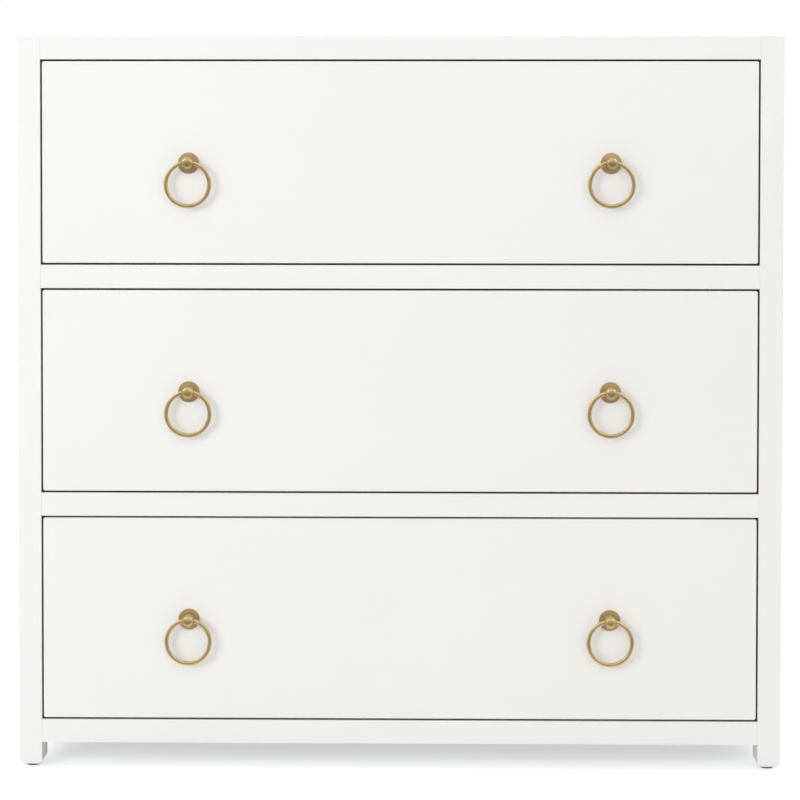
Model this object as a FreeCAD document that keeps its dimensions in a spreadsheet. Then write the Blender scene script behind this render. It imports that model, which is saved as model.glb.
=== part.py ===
"""Three-drawer campaign chest: corner posts, rails and panels, drawers on ball-bearing slides, ring pulls.

Frame: millimetres, +Z up, the front faces -Y, and the origin is on the floor at the centre of the
overall footprint, ring pulls included. Every piece is given by the extents it has in the closed chest,
and pieces that meet take those extents from the same sizes. Left-hand pieces are drawn and mirrored.
"""

import FreeCAD, Part
import os
import re
from collections import namedtuple

import Sketcher

# Driving sizes in millimetres; each one becomes a cell of the sheet, with the same name.
SIZES = {
    # carcass, outside
    "width": 914,
    "depth": 457,
    "height": 878.5,
    "leg_clearance": 30.5,
    # posts and rails
    "post_width": 27.5,
    "post_depth": 36,
    "rail_height": 28,
    "edge_ease": 0.5,
    "top_round": 1.5,
    "foot_round": 5,
    # joints of the carcass
    "joint_gap": 0.2,
    "tenon_length": 12,
    "tenon_thickness": 10,
    "tenon_height": 12,
    "tenon_inset": 9,
    "rear_tenon_wall": 2,
    "side_tenon_length": 10,
    "side_tenon_offset": 5,
    # side, top and back panels
    "panel_reveal": 3,
    "panel_thickness": 12,
    "panel_groove": 6,
    "top_thickness": 18,
    "tongue_length": 6,
    "tongue_thickness": 8,
    "tongue_stop": 12,
    "back_thickness": 5,
    "back_recess": 3,
    "back_lap": 12,
    # floor glides
    "glide_height": 4.5,
    "glide_diameter": 18,
    "glide_bevel": 1.2,
    "glide_pin_diameter": 3.4,
    "glide_pin_length": 14,
    # drawers
    "drawer_gap": 2.2,
    "front_thickness": 20,
    "front_corner": 2.5,
    "front_ease": 1.2,
    "box_lift": 15,
    "box_drop": 27,
    "box_board": 12,
    "box_ease": 2,
    "side_dado": 8,
    "back_dado": 5,
    "back_inset": 10,
    "back_space": 33,
    "base_thickness": 6,
    "base_rise": 12,
    "base_groove": 6,
    # ball-bearing slides
    "slide_thickness": 12.7,
    "slide_height": 35,
    "slide_overlap": 100,
    "slide_setback": 2,
    "slide_tail": 4,
    "slide_rise": 80,
    "slide_sheet": 1.2,
    "slide_bend": 0.5,
    "channel_depth": 11,
    "channel_lip": 3,
    "runner_depth": 10.7,
    "runner_lip": 2.7,
    "bearer_height": 60,
    # ball cages
    "ball_diameter": 3.6,
    "ball_clearance": 0.2,
    "ball_pitch": 14,
    "cage_margin": 3,
    "cage_width": 5.8,
    "cage_thickness": 0.8,
    "cage_end": 5,
    # wood screws
    "screw_diameter": 3.5,
    "screw_length": 10,
    "screw_tip": 3,
    "screw_head_diameter": 7,
    "screw_head_height": 2.2,
    "screw_head_round": 1.2,
    "screw_fit": 0.1,
    "screw_margin": 30,
    "back_screw_margin": 60,
    "back_screw_inset": 6,
    # ring pulls
    "pull_spacing": 504,
    "pull_drop": 1.2,
    "rosette_diameter": 25.4,
    "rosette_edge": 1,
    "rosette_height": 2.2,
    "rosette_rim": 4.9,
    "rosette_round": 0.5,
    "groove_width": 0.8,
    "groove_depth": 0.6,
    "hub_shoulder": 2.8,
    "hub_diameter": 9.4,
    "hub_height": 3.6,
    "hub_round": 0.6,
    "knob_diameter": 15.2,
    "knob_standoff": 13.7,
    "knob_neck_diameter": 7.2,
    "knob_hole_ease": 0.25,
    "ring_diameter": 51.8,
    "ring_wire": 5,
    "ring_play": 0.25,
    "ring_setback": 2.4,
    "bolt_diameter": 4,
    "bolt_end_wall": 0.8,
    "bolt_head_diameter": 9,
    "bolt_head_height": 2.4,
    "bolt_head_round": 1.2,
}

LEVELS = ("lower", "middle", "upper")
RAIL_COUNT = len(LEVELS) + 1
TOP_RAIL = RAIL_COUNT - 1
SLIDE_SCREWS = 3
BACK_SCREW_COLUMNS = 5
BACK_SCREW_ROWS = 3

# Places and sizes that follow from the driving ones. Places across the chest are distances from its
# middle plane; those from front to back and up are coordinates.
DERIVED = {
    "pull_reach": "knob_standoff + knob_diameter / 2",
    "front": "pull_reach - (depth + pull_reach) / 2",
    "rear": "front + depth",
    "half_width": "width / 2",
    "inner_half": "half_width - post_width",
    "post_middle": "half_width - post_width / 2",
    "front_post_back": "front + post_depth",
    "rear_post_front": "rear - post_depth",
    "opening_height": f"(height - leg_clearance - {RAIL_COUNT} * rail_height) / {len(LEVELS)}",
    "level_pitch": "opening_height + rail_height",
    "back_face": "rear - back_recess",
    "rebate_front": "back_face - back_thickness",
    "panel_outer": "half_width - panel_reveal",
    "panel_inner": "panel_outer - panel_thickness",
    "front_back": "front + front_thickness",
    "box_half": "inner_half - slide_thickness",
    "box_inner": "box_half - box_board",
    "box_height": "opening_height - 2 * drawer_gap - box_lift - box_drop",
    "box_rear": "rebate_front - back_space",
    "box_back_rear": "box_rear - back_inset",
    "box_back_front": "box_back_rear - box_board",
    "slide_front": "front_back + slide_setback",
    "slide_rear": "box_rear - slide_tail",
    "slide_length": "slide_rear - slide_front",
    "slide_travel": "slide_length - slide_overlap",
    "slide_half": "slide_height / 2",
    "ball_row": "slide_half - slide_sheet - ball_clearance - ball_diameter / 2",
    "runner_half": "ball_row - ball_diameter / 2 - ball_clearance",
    "runner_tip": "box_half + runner_depth",
    "channel_tip": "inner_half - channel_depth",
    "cage_middle": "(runner_tip + channel_tip) / 2",
    "cage_front": "slide_front + slide_travel / 2 + cage_margin",
    "cage_length": "slide_length - slide_travel - 2 * cage_margin",
    "ball_count": "floor((cage_length - 2 * cage_end) / ball_pitch) + 1",
    "screw_hole": "screw_diameter + 2 * screw_fit",
    "screw_room": "screw_length + screw_fit",
    "slide_screw_pitch": f"(slide_length - 2 * screw_margin) / {SLIDE_SCREWS - 1}",
    "back_row_half": "inner_half - back_screw_margin",
    "back_row_pitch": f"2 * back_row_half / {BACK_SCREW_COLUMNS - 1}",
    "back_row_low": "leg_clearance + rail_height - back_screw_inset",
    "back_row_high": "height - rail_height + back_screw_inset",
    "back_column_x": "inner_half + back_screw_inset",
    "back_column_low": "back_row_low + 2 * back_screw_margin",
    "back_column_high": "back_row_high - 2 * back_screw_margin",
    "back_column_pitch": f"(back_column_high - back_column_low) / {BACK_SCREW_ROWS - 1}",
    "pull_offset": "pull_spacing / 2",
    "groove_outside": "rosette_diameter / 2 - rosette_rim",
    "groove_inside": "groove_outside - groove_width",
    "groove_floor": "rosette_height - groove_depth",
    "ring_radius": "ring_diameter / 2",
    "ring_sag": "ring_radius - sqrt(ring_radius ^ 2 - (knob_diameter / 2) ^ 2)",
    "ring_bore": "ring_wire + ring_sag + 2 * ring_play",
    "bolt_hole": "bolt_diameter + 2 * screw_fit",
    "knob_line": "front - knob_standoff",
    "ring_line": "knob_line + ring_setback",
    "bolt_room": "ring_line + ring_bore / 2 + bolt_end_wall",
    "bolt_tip": "bolt_room + screw_fit",
}

Box = namedtuple("Box", "x y z")
NEAR = 1e-4
DOC = FreeCAD.newDocument("CampaignChest")
SHEET = DOC.addObject("Spreadsheet::Sheet", "Sizes")
NODES = []


# ---------------------------------------------------------------- the sheet and its expressions

def fill_sheet():
    """One row for each driving size, its name beside its value."""
    for row, (name, number) in enumerate(SIZES.items(), start=1):
        SHEET.set(f"A{row}", name)
        SHEET.set(f"B{row}", str(number))
        SHEET.setAlias(f"B{row}", name)
    DOC.recompute()


def formula(text):
    """Spell out the derived names in an expression and point each size at its cell."""
    def spell(match):
        word = match.group(0)
        if word in DERIVED:
            return f"({formula(DERIVED[word])})"
        if word in SIZES:
            return f"Sizes.{word}"
        return word
    return re.sub(r"[a-z_]+", spell, text)


def bind(thing, path, text):
    """Tie one property of an object to an expression of the sizes."""
    thing.setExpression(path, formula(text))


def value(text):
    """The number that an expression of the sizes comes to."""
    return float(SHEET.evalExpression(formula(text)))


def place(thing, spot):
    """Tie an object's place to three expressions."""
    for axis, text in zip("xyz", spot):
        bind(thing, f"Placement.Base.{axis}", text)


# ---------------------------------------------------------------- sketches

def origin_feature(body, role):
    """One of a body's own origin planes or axes."""
    return next(part for part in body.Origin.OriginFeatures if part.Role == role)


def new_sketch(body, name, plane, offset):
    """A sketch on one of the body's origin planes, moved along that plane's normal."""
    sketch = body.newObject("Sketcher::SketchObject", name)
    sketch.AttachmentSupport = [(origin_feature(body, plane), "")]
    sketch.MapMode = "FlatFace"
    bind(sketch, "AttachmentOffset.Base.z", offset)
    return sketch


def tie(sketch, name, constraint, text):
    """Add a named constraint and bind it to an expression."""
    constraint.Name = name
    sketch.addConstraint(constraint)
    bind(sketch, f"Constraints.{name}", text)


def tie_point(sketch, geometry, point, spot):
    """Tie a point of a sketch to two expressions, measured from the sketch's origin."""
    for kind, text in zip(("DistanceX", "DistanceY"), spot):
        constraint = Sketcher.Constraint(kind, -1, 1, geometry, point, value(text))
        tie(sketch, f"{kind}{geometry}", constraint, text)


def draw_outline(sketch, corners):
    """A closed outline of straight lines, each corner tied to two expressions."""
    spots = [FreeCAD.Vector(value(across), value(up), 0) for across, up in corners]
    count = len(corners)
    for index, start in enumerate(spots):
        sketch.addGeometry(Part.LineSegment(start, spots[(index + 1) % count]), False)
    for index in range(count):
        sketch.addConstraint(Sketcher.Constraint("Coincident", index, 2, (index + 1) % count, 1))
    for index, corner in enumerate(corners):
        tie_point(sketch, index, 1, corner)


def draw_circle(sketch, centre, diameter):
    """A circle with its centre and diameter tied to expressions."""
    middle = FreeCAD.Vector(value(centre[0]), value(centre[1]), 0)
    sketch.addGeometry(Part.Circle(middle, FreeCAD.Vector(0, 0, 1), value(diameter) / 2), False)
    tie_point(sketch, 0, 3, centre)
    tie(sketch, "Diameter", Sketcher.Constraint("Diameter", 0, value(diameter)), diameter)


# ---------------------------------------------------------------- edges

def at(edge, axis, level):
    """True where the whole edge lies at one coordinate."""
    return all(abs(getattr(vertex.Point, axis) - level) < NEAR for vertex in edge.Vertexes)


def along(edge, axis):
    """True for a straight edge parallel to one axis."""
    return isinstance(edge.Curve, Part.Line) and abs(abs(getattr(edge.Curve.Direction, axis)) - 1) < NEAR


def is_sharp(shape, edge):
    """True where the two faces beside an edge meet at an angle."""
    middle = edge.valueAt((edge.FirstParameter + edge.LastParameter) / 2)
    normals = [face.normalAt(*face.Surface.parameter(middle))
               for face in shape.ancestorsOfType(edge, Part.Face)]
    return len(normals) == 2 and normals[0].dot(normals[1]) < 1 - NEAR


# ---------------------------------------------------------------- bodies

class Piece:
    """A PartDesign body whose features are given by extents in the chest's own frame."""

    def __init__(self, label, base):
        self.label = label
        self.base = base
        self.steps = 0
        self.body = DOC.addObject("PartDesign::Body", label)
        self.body.Label = label
        place(self.body, base)

    def feature(self, kind, what):
        """A new feature or sketch of this body, with a name of its own."""
        self.steps += 1
        return self.body.newObject(kind, f"{self.label}_{self.steps}_{what}")

    def finish(self, feature):
        """Make a feature the body's result and work it out."""
        self.body.Tip = feature
        DOC.recompute()
        return feature

    def sketch(self, plane, offset):
        self.steps += 1
        return new_sketch(self.body, f"{self.label}_{self.steps}_sketch", plane, offset)

    def local(self, axis, text):
        """An expression in the chest's frame, moved into the body's own."""
        return f"({text}) - ({self.base['xyz'.index(axis)]})"

    def extrude(self, kind, sketch, span):
        """Pad or pocket a sketch along its plane's normal, by the length of a span."""
        low, high = span
        feature = self.feature(f"PartDesign::{kind}", kind.lower())
        feature.Profile = sketch
        feature.Reversed = kind == "Pocket"
        bind(feature, "Length", f"({high}) - ({low})")
        return self.finish(feature)

    def plan(self, box):
        """The plan of a box, drawn at its low level."""
        left, right = [self.local("x", text) for text in box.x]
        near, far = [self.local("y", text) for text in box.y]
        sketch = self.sketch("XY_Plane", self.local("z", box.z[0]))
        draw_outline(sketch, [(left, near), (right, near), (right, far), (left, far)])
        return sketch

    def add(self, box):
        """Add a rectangular block."""
        return self.extrude("Pad", self.plan(box), box.z)

    def cut(self, box):
        """Cut a rectangular block away."""
        volume = self.body.Shape.Volume
        feature = self.extrude("Pocket", self.plan(box), box.z)
        self.check_removed(volume)
        return feature

    def bore(self, axis, centre, diameter, span):
        """Cut a round hole along an axis, centred on the other two coordinates, over a span."""
        volume = self.body.Shape.Volume
        plane = {"x": "YZ_Plane", "y": "XZ_Plane", "z": "XY_Plane"}[axis]
        across = [other for other in "xyz" if other != axis]
        start = f"-({self.local(axis, span[1])})" if axis == "y" else self.local(axis, span[0])
        sketch = self.sketch(plane, start)
        draw_circle(sketch, [self.local(other, text) for other, text in zip(across, centre)], diameter)
        feature = self.extrude("Pocket", sketch, span)
        self.check_removed(volume)
        return feature

    def check_removed(self, volume_before):
        """A pocket that misses the solid shows no error, so the volumes are compared."""
        if self.body.Shape.Volume > volume_before - NEAR:
            raise RuntimeError(f"{self.body.Tip.Name} removes nothing")

    def turn(self, axis, outline):
        """Turn an outline about an axis through the body's base; its corners are (radius, place)."""
        sketch = self.sketch("XZ_Plane" if axis == "z" else "XY_Plane", "0")
        corners = [(radius, self.local(axis, level)) for radius, level in outline]
        if axis == "x":
            corners = [(level, radius) for radius, level in corners]
        draw_outline(sketch, corners)
        feature = self.feature("PartDesign::Revolution", "turned")
        feature.Profile = sketch
        feature.ReferenceAxis = (sketch, ["H_Axis" if axis == "x" else "V_Axis"])
        return self.finish(feature)

    def ball(self, diameter, spot):
        """Add a ball, with its poles in front and behind and its seam on top."""
        feature = self.feature("PartDesign::AdditiveSphere", "ball")
        feature.Placement.Rotation = FreeCAD.Rotation(
            FreeCAD.Vector(0, 0, 1), FreeCAD.Vector(-1, 0, 0), FreeCAD.Vector(0, -1, 0))
        bind(feature, "Radius", f"({diameter}) / 2")
        place(feature, [self.local(axis, text) for axis, text in zip("xyz", spot)])
        return self.finish(feature)

    def row(self, axis, count, pitch, original=None):
        """Repeat one feature, or the whole body, in a row."""
        pattern = self.feature("PartDesign::LinearPattern", "row")
        if original:
            pattern.Originals = [original]
        else:
            pattern.TransformMode = "Whole shape"
        pattern.Direction = (origin_feature(self.body, f"{axis.upper()}_Axis"), [""])
        pattern.Mode = "Spacing"
        bind(pattern, "Offset", pitch)
        bind(pattern, "Occurrences", count)
        return self.finish(pattern)

    def dress(self, kind, size_name, size, chosen):
        """Fillet or chamfer the edges of the latest feature that a test picks."""
        tip = self.body.Tip
        names = [f"Edge{number}" for number, edge in enumerate(tip.Shape.Edges, start=1) if chosen(edge)]
        feature = self.feature(f"PartDesign::{kind}", kind.lower())
        feature.Base = (tip, names)
        bind(feature, size_name, size)
        return self.finish(feature)

    def fillet(self, radius, chosen):
        return self.dress("Fillet", "Radius", radius, chosen)

    def ease(self, radius):
        """Round every edge that is still sharp."""
        shape = self.body.Tip.Shape
        return self.fillet(radius, lambda edge: is_sharp(shape, edge))


def board(label, box):
    """A rectangular board, its body placed at the board's low corner."""
    piece = Piece(label, (box.x[0], box.y[0], box.z[0]))
    piece.add(box)
    return piece


def eased_board(label, box, radius="edge_ease"):
    """A rectangular board with all its edges rounded."""
    piece = board(label, box)
    piece.ease(radius)
    return piece


def mirrored(source, label, normal=(1, 0, 0), base=("0", "0", "0")):
    """The twin of a piece on the other side of a plane, as a rule the chest's middle plane."""
    twin = DOC.addObject("Part::Mirroring", label)
    twin.Label = label
    twin.Source = source
    twin.Normal = normal
    for axis, text in zip("xyz", base):
        bind(twin, f"Base.{axis}", text)
    return twin


def node(thing):
    """List an object as a finished sub-part, which is written to a file under its label."""
    NODES.append(thing)
    return thing


def left_and_right(left, name):
    """Two nodes: a left-hand piece and its twin."""
    node(left)
    node(mirrored(left, f"{name}_right"))


def group(label, members):
    """One node that holds several like pieces, each a solid of its own."""
    compound = DOC.addObject("Part::Compound", label)
    compound.Label = label
    compound.Links = members
    return node(compound)


def group_of_pairs(label, lefts):
    """One node that holds left-hand pieces and their twins."""
    group(label, [thing for left in lefts for thing in (left, mirrored(left, f"{left.Label}_twin"))])


# ---------------------------------------------------------------- shared extents

def grown(box, gap):
    """A box with a gap added on all its sides: the room that its mating piece leaves."""
    return Box(*((f"({low}) - {gap}", f"({high}) + {gap}") for low, high in box))


def span_at(low, length):
    """A span from its low end and its length."""
    return (low, f"{low} + {length}")


def span_about(middle, length):
    """A span from its middle and its length."""
    return (f"{middle} - {length} / 2", f"{middle} + {length} / 2")


BETWEEN_POSTS = ("-inner_half", "inner_half")
LEFT_POST = ("-half_width", "-inner_half")
FRONT_POST = ("front", "front_post_back")
REAR_POST = ("rear_post_front", "rear")
SIDE_SPAN = ("front_post_back", "rear_post_front")
POST_HEIGHT = ("glide_height", "height")
TENON_SPAN = ("-inner_half - tenon_length", "inner_half + tenon_length")
BOTTOM_RAIL_HEIGHT = span_at("leg_clearance", "rail_height")
TOP_RAIL_HEIGHT = ("height - rail_height", "height")
TONGUE_HEIGHT = span_at("height - top_thickness", "tongue_thickness")

LEFT_PANEL = Box(
    ("-panel_outer", "-panel_inner"),
    ("front_post_back - panel_groove", "rear_post_front + panel_groove"),
    ("leg_clearance + rail_height - panel_groove", "height - rail_height + panel_groove"))
BACK_REBATE = Box(
    ("-inner_half - back_lap", "inner_half + back_lap"),
    ("rebate_front", "rear + back_recess"),
    ("leg_clearance + rail_height - back_lap", "height - rail_height + back_lap"))
TONGUE_ACROSS = Box(
    ("-inner_half - tongue_length", "inner_half + tongue_length"),
    ("front_post_back + tongue_stop", "rear_post_front - tongue_stop"),
    TONGUE_HEIGHT)
TONGUE_FORE_AND_AFT = Box(
    ("-inner_half + tongue_stop", "inner_half - tongue_stop"),
    ("front_post_back - tongue_length", "rear_post_front + tongue_length"),
    TONGUE_HEIGHT)


def front_rail_height(index):
    """Low and high level of a front rail, counted from the bottom one."""
    return span_at(f"leg_clearance + {index} * level_pitch", "rail_height")


def middle_of(rail_height):
    """Low and high level of the tenon at the middle of a rail."""
    return span_at(f"{rail_height[0]} + (rail_height - tenon_height) / 2", "tenon_height")


def front_tenon(index):
    """The bar that stands out of both ends of a front rail as its tenons."""
    return Box(TENON_SPAN, span_at("front + tenon_inset", "tenon_thickness"),
               middle_of(front_rail_height(index)))


def rear_tenon(rail_height):
    """The bar that makes a rear rail's tenons, in front of the rebate for the back panel."""
    return Box(TENON_SPAN, span_at("rebate_front - rear_tenon_wall - tenon_thickness", "tenon_thickness"),
               middle_of(rail_height))


def left_tenon(low):
    """The bar that makes a left side rail's tenons, from its low level."""
    return Box(span_about("-post_middle", "tenon_thickness"),
               ("front_post_back - side_tenon_length", "rear_post_front + side_tenon_length"),
               span_at(low, "tenon_height"))


LOW_LEFT_TENON = left_tenon("leg_clearance + side_tenon_offset")
HIGH_LEFT_TENON = left_tenon("height - side_tenon_offset - tenon_height")


# ---------------------------------------------------------------- carcass

def rounded_post(label, depth_span, is_outer):
    """A left corner post: foot rounded to both sides, outer edges rounded at the top, eased elsewhere."""
    post = board(label, Box(LEFT_POST, depth_span, POST_HEIGHT))
    top = value("height - glide_height")
    post.fillet("foot_round", lambda edge: at(edge, "z", 0) and along(edge, "y"))
    post.fillet("top_round", lambda edge: at(edge, "z", top) and (at(edge, "x", 0) or is_outer(edge)))
    post.ease("edge_ease")
    for tenon in (LOW_LEFT_TENON, HIGH_LEFT_TENON):
        post.cut(grown(tenon, "joint_gap"))
    post.cut(grown(LEFT_PANEL, "joint_gap"))
    middle_y = f"({depth_span[0]} + {depth_span[1]}) / 2"
    post.bore("z", ("-post_middle", middle_y), "glide_pin_diameter + 2 * screw_fit",
              ("0", "glide_height + glide_pin_length + screw_fit"))
    return post


def make_posts():
    front_post = rounded_post("front_post_left", FRONT_POST, lambda edge: at(edge, "y", 0))
    for index in range(RAIL_COUNT):
        front_post.cut(grown(front_tenon(index), "joint_gap"))
    left_and_right(front_post.body, "front_post")

    post_depth = value("post_depth")
    rear_post = rounded_post("rear_post_left", REAR_POST, lambda edge: at(edge, "y", post_depth))
    for rail_height in (BOTTOM_RAIL_HEIGHT, TOP_RAIL_HEIGHT):
        rear_post.cut(grown(rear_tenon(rail_height), "joint_gap"))
    rear_post.cut(BACK_REBATE)
    hole = bore_for_back(rear_post, ("-back_column_x", "back_column_low"))
    rear_post.row("z", str(BACK_SCREW_ROWS), "back_column_pitch", hole)
    left_and_right(rear_post.body, "rear_post")


def bore_for_back(piece, centre):
    """A pilot hole for one screw of the back panel."""
    return piece.bore("y", centre, "screw_hole", ("back_face - screw_room", "rebate_front"))


def make_front_rails():
    """The bottom rail, the dividers between the drawers and the top rail, flush with the posts."""
    labels = ("bottom_front_rail", "lower_divider_rail", "upper_divider_rail", "top_front_rail")
    rail_top = value("rail_height")
    for index, label in enumerate(labels):
        rail = board(label, Box(BETWEEN_POSTS, FRONT_POST, front_rail_height(index)))
        if index == TOP_RAIL:
            rail.fillet("top_round", lambda edge: at(edge, "z", rail_top) and at(edge, "y", 0))
        rail.ease("edge_ease")
        rail.add(front_tenon(index))
        if index == TOP_RAIL:
            rail.cut(grown(TONGUE_FORE_AND_AFT, "joint_gap"))
        node(rail.body)


def make_rear_rails():
    """The bottom and top rails at the rear, rebated for the back panel."""
    rail_top = value("rail_height")
    post_depth = value("post_depth")
    for label, rail_height, screw_row in (
            ("bottom_rear_rail", BOTTOM_RAIL_HEIGHT, "back_row_low"),
            ("top_rear_rail", TOP_RAIL_HEIGHT, "back_row_high")):
        rail = board(label, Box(BETWEEN_POSTS, REAR_POST, rail_height))
        if rail_height is TOP_RAIL_HEIGHT:
            rail.fillet("top_round", lambda edge: at(edge, "z", rail_top) and at(edge, "y", post_depth))
        rail.ease("edge_ease")
        rail.add(rear_tenon(rail_height))
        rail.cut(BACK_REBATE)
        hole = bore_for_back(rail, ("-back_row_half", screw_row))
        rail.row("x", str(BACK_SCREW_COLUMNS), "back_row_pitch", hole)
        if rail_height is TOP_RAIL_HEIGHT:
            rail.cut(grown(TONGUE_FORE_AND_AFT, "joint_gap"))
        node(rail.body)


def make_side_rails():
    """The rails between the posts on each side, grooved for the side panels."""
    rail_top = value("rail_height")
    for name, rail_height, tenon in (
            ("bottom_side_rail", BOTTOM_RAIL_HEIGHT, LOW_LEFT_TENON),
            ("top_side_rail", TOP_RAIL_HEIGHT, HIGH_LEFT_TENON)):
        rail = board(f"{name}_left", Box(LEFT_POST, SIDE_SPAN, rail_height))
        if rail_height is TOP_RAIL_HEIGHT:
            rail.fillet("top_round", lambda edge: at(edge, "z", rail_top) and at(edge, "x", 0))
        rail.ease("edge_ease")
        rail.add(tenon)
        rail.cut(grown(LEFT_PANEL, "joint_gap"))
        if rail_height is TOP_RAIL_HEIGHT:
            rail.cut(grown(TONGUE_ACROSS, "joint_gap"))
        group_of_pairs(f"{name}s", [rail.body])


def make_panels():
    """The side panels in their grooves, the top on its tongues and the back in its rebate."""
    left_and_right(board("side_panel_left", LEFT_PANEL).body, "side_panel")

    top = eased_board("top_panel", Box(BETWEEN_POSTS, SIDE_SPAN, ("height - top_thickness", "height")))
    top.add(TONGUE_ACROSS)
    top.add(TONGUE_FORE_AND_AFT)
    node(top.body)

    room = grown(BACK_REBATE, "(-joint_gap)")
    back = board("back_panel", Box(room.x, ("rebate_front", "back_face"), room.z))
    through = ("rebate_front", "back_face")
    for centre, axis, count, pitch in back_screw_rows():
        hole = back.bore("y", centre, "screw_hole", through)
        back.row(axis, count, pitch, hole)
    node(back.body)


def back_screw_rows():
    """The first screw, the direction, the number and the pitch of each row around the back panel."""
    columns = str(BACK_SCREW_COLUMNS)
    rows = str(BACK_SCREW_ROWS)
    return (
        (("-back_row_half", "back_row_low"), "x", columns, "back_row_pitch"),
        (("-back_row_half", "back_row_high"), "x", columns, "back_row_pitch"),
        (("-back_column_x", "back_column_low"), "z", rows, "back_column_pitch"),
        (("back_column_x", "back_column_low"), "z", rows, "back_column_pitch"),
    )


def make_floor_glides():
    """A nail-in glide under each foot: a disc with a bevelled rim and a pin up into the post."""
    glide = Piece("front_glide_left", ("-post_middle", "front + post_depth / 2", "0"))
    glide.turn("z", [
        ("0", "0"),
        ("glide_diameter / 2", "0"),
        ("glide_diameter / 2", "glide_height"),
        ("glide_pin_diameter / 2", "glide_height"),
        ("glide_pin_diameter / 2", "glide_height + glide_pin_length"),
        ("0", "glide_height + glide_pin_length"),
    ])
    glide.dress("Chamfer", "Size", "glide_bevel", lambda edge: at(edge, "z", 0) and edge.Length > NEAR)
    rear = mirrored(glide.body, "rear_glide_left", (0, 1, 0), ("0", "(front + rear) / 2", "0"))
    group_of_pairs("floor_glides", [glide.body, rear])


# ---------------------------------------------------------------- slides

def slide_level(level):
    """Height of the centre line of one drawer's slides."""
    return f"({drawer_low(level)} + box_lift + slide_rise)"


def drawer_low(level):
    """Height of the lower edge of one drawer's front."""
    return f"(leg_clearance + rail_height + {LEVELS.index(level)} * level_pitch + drawer_gap)"


def about_slide(level, half):
    """Low and high level of something centred on the slide line."""
    return (f"{slide_level(level)} - {half}", f"{slide_level(level)} + {half}")


def make_bearers():
    """The boards inside each side panel that carry the slides, flush with the posts' inner faces."""
    bearers = []
    for level in LEVELS:
        bearer = eased_board(f"{level}_bearer_left", Box(
            ("-panel_inner", "-inner_half"), SIDE_SPAN, about_slide(level, "bearer_height / 2")))
        hole = bearer.bore("x", ("slide_front + screw_margin", slide_level(level)), "screw_hole",
                           ("-inner_half + slide_sheet - screw_room", "-inner_half"))
        bearer.row("y", str(SLIDE_SCREWS), "slide_screw_pitch", hole)
        bearers.append(bearer.body)
    group_of_pairs("slide_bearers", bearers)


def make_channels():
    """The outer members of the slides: lipped channels screwed to the bearers, open to the drawer."""
    channels = []
    for level in LEVELS:
        channel = board(f"{level}_channel_left", Box(
            ("-inner_half", "-channel_tip"), ("slide_front", "slide_rear"),
            about_slide(level, "slide_half")))
        channel.fillet("slide_bend", lambda edge: along(edge, "y"))
        inside = Box(("-inner_half + slide_sheet", "-channel_tip - slide_sheet"),
                     ("slide_front - slide_sheet", "slide_rear + slide_sheet"),
                     about_slide(level, "(slide_half - slide_sheet)"))
        mouth = Box(("-inner_half + slide_sheet", "-channel_tip + slide_sheet"), inside.y,
                    about_slide(level, "(slide_half - channel_lip)"))
        channel.cut(inside)
        channel.cut(mouth)
        hole = channel.bore("x", ("slide_front + screw_margin", slide_level(level)), "screw_hole",
                            ("-inner_half", "-inner_half + slide_sheet"))
        channel.row("y", str(SLIDE_SCREWS), "slide_screw_pitch", hole)
        channels.append(channel.body)
    group_of_pairs("slide_channels", channels)


def make_runners(level):
    """The inner members of one drawer's slides: channels with turned-out lips, screwed to the box."""
    lip_half = "(runner_half + runner_lip)"
    runner = board(f"{level}_runner_left", Box(
        ("-runner_tip", "-box_half"), ("slide_front", "slide_rear"), about_slide(level, lip_half)))
    length = ("slide_front - slide_sheet", "slide_rear + slide_sheet")
    runner.cut(Box(("-runner_tip - slide_sheet", "-box_half - slide_sheet"), length,
                   about_slide(level, "(runner_half - slide_sheet)")))
    centre = slide_level(level)
    for low, high in ((f"{centre} - {lip_half} - slide_sheet", f"{centre} - runner_half"),
                      (f"{centre} + runner_half", f"{centre} + {lip_half} + slide_sheet")):
        runner.cut(Box(("-runner_tip + slide_sheet", "-box_half + slide_sheet"), length, (low, high)))
    hole = runner.bore("x", ("slide_front + screw_margin", centre), "screw_hole",
                       ("-box_half - slide_sheet", "-box_half"))
    runner.row("y", str(SLIDE_SCREWS), "slide_screw_pitch", hole)
    group_of_pairs(f"{level}_drawer_runners", [runner.body])


def make_ball_cages(level):
    """The strips and balls that roll between a channel and a runner, above and below."""
    members = []
    for name, sign in (("low", "-"), ("high", "+")):
        middle = f"{slide_level(level)} {sign} ball_row"
        first_ball = ("-cage_middle", "cage_front + cage_end")
        strip = board(f"{level}_{name}_cage_left", Box(
            span_about("-cage_middle", "cage_width"), span_at("cage_front", "cage_length"),
            span_about(middle, "cage_thickness")))
        hole = strip.bore("z", first_ball, "ball_diameter + ball_clearance",
                          span_about(middle, "cage_thickness"))
        strip.row("y", "ball_count", "ball_pitch", hole)
        balls = Piece(f"{level}_{name}_balls_left", (*first_ball, middle))
        balls.ball("ball_diameter", balls.base)
        balls.row("y", "ball_count", "ball_pitch")
        members += [strip.body, balls.body]
    group_of_pairs(f"{level}_drawer_ball_cages", members)


# ---------------------------------------------------------------- fasteners

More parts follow.
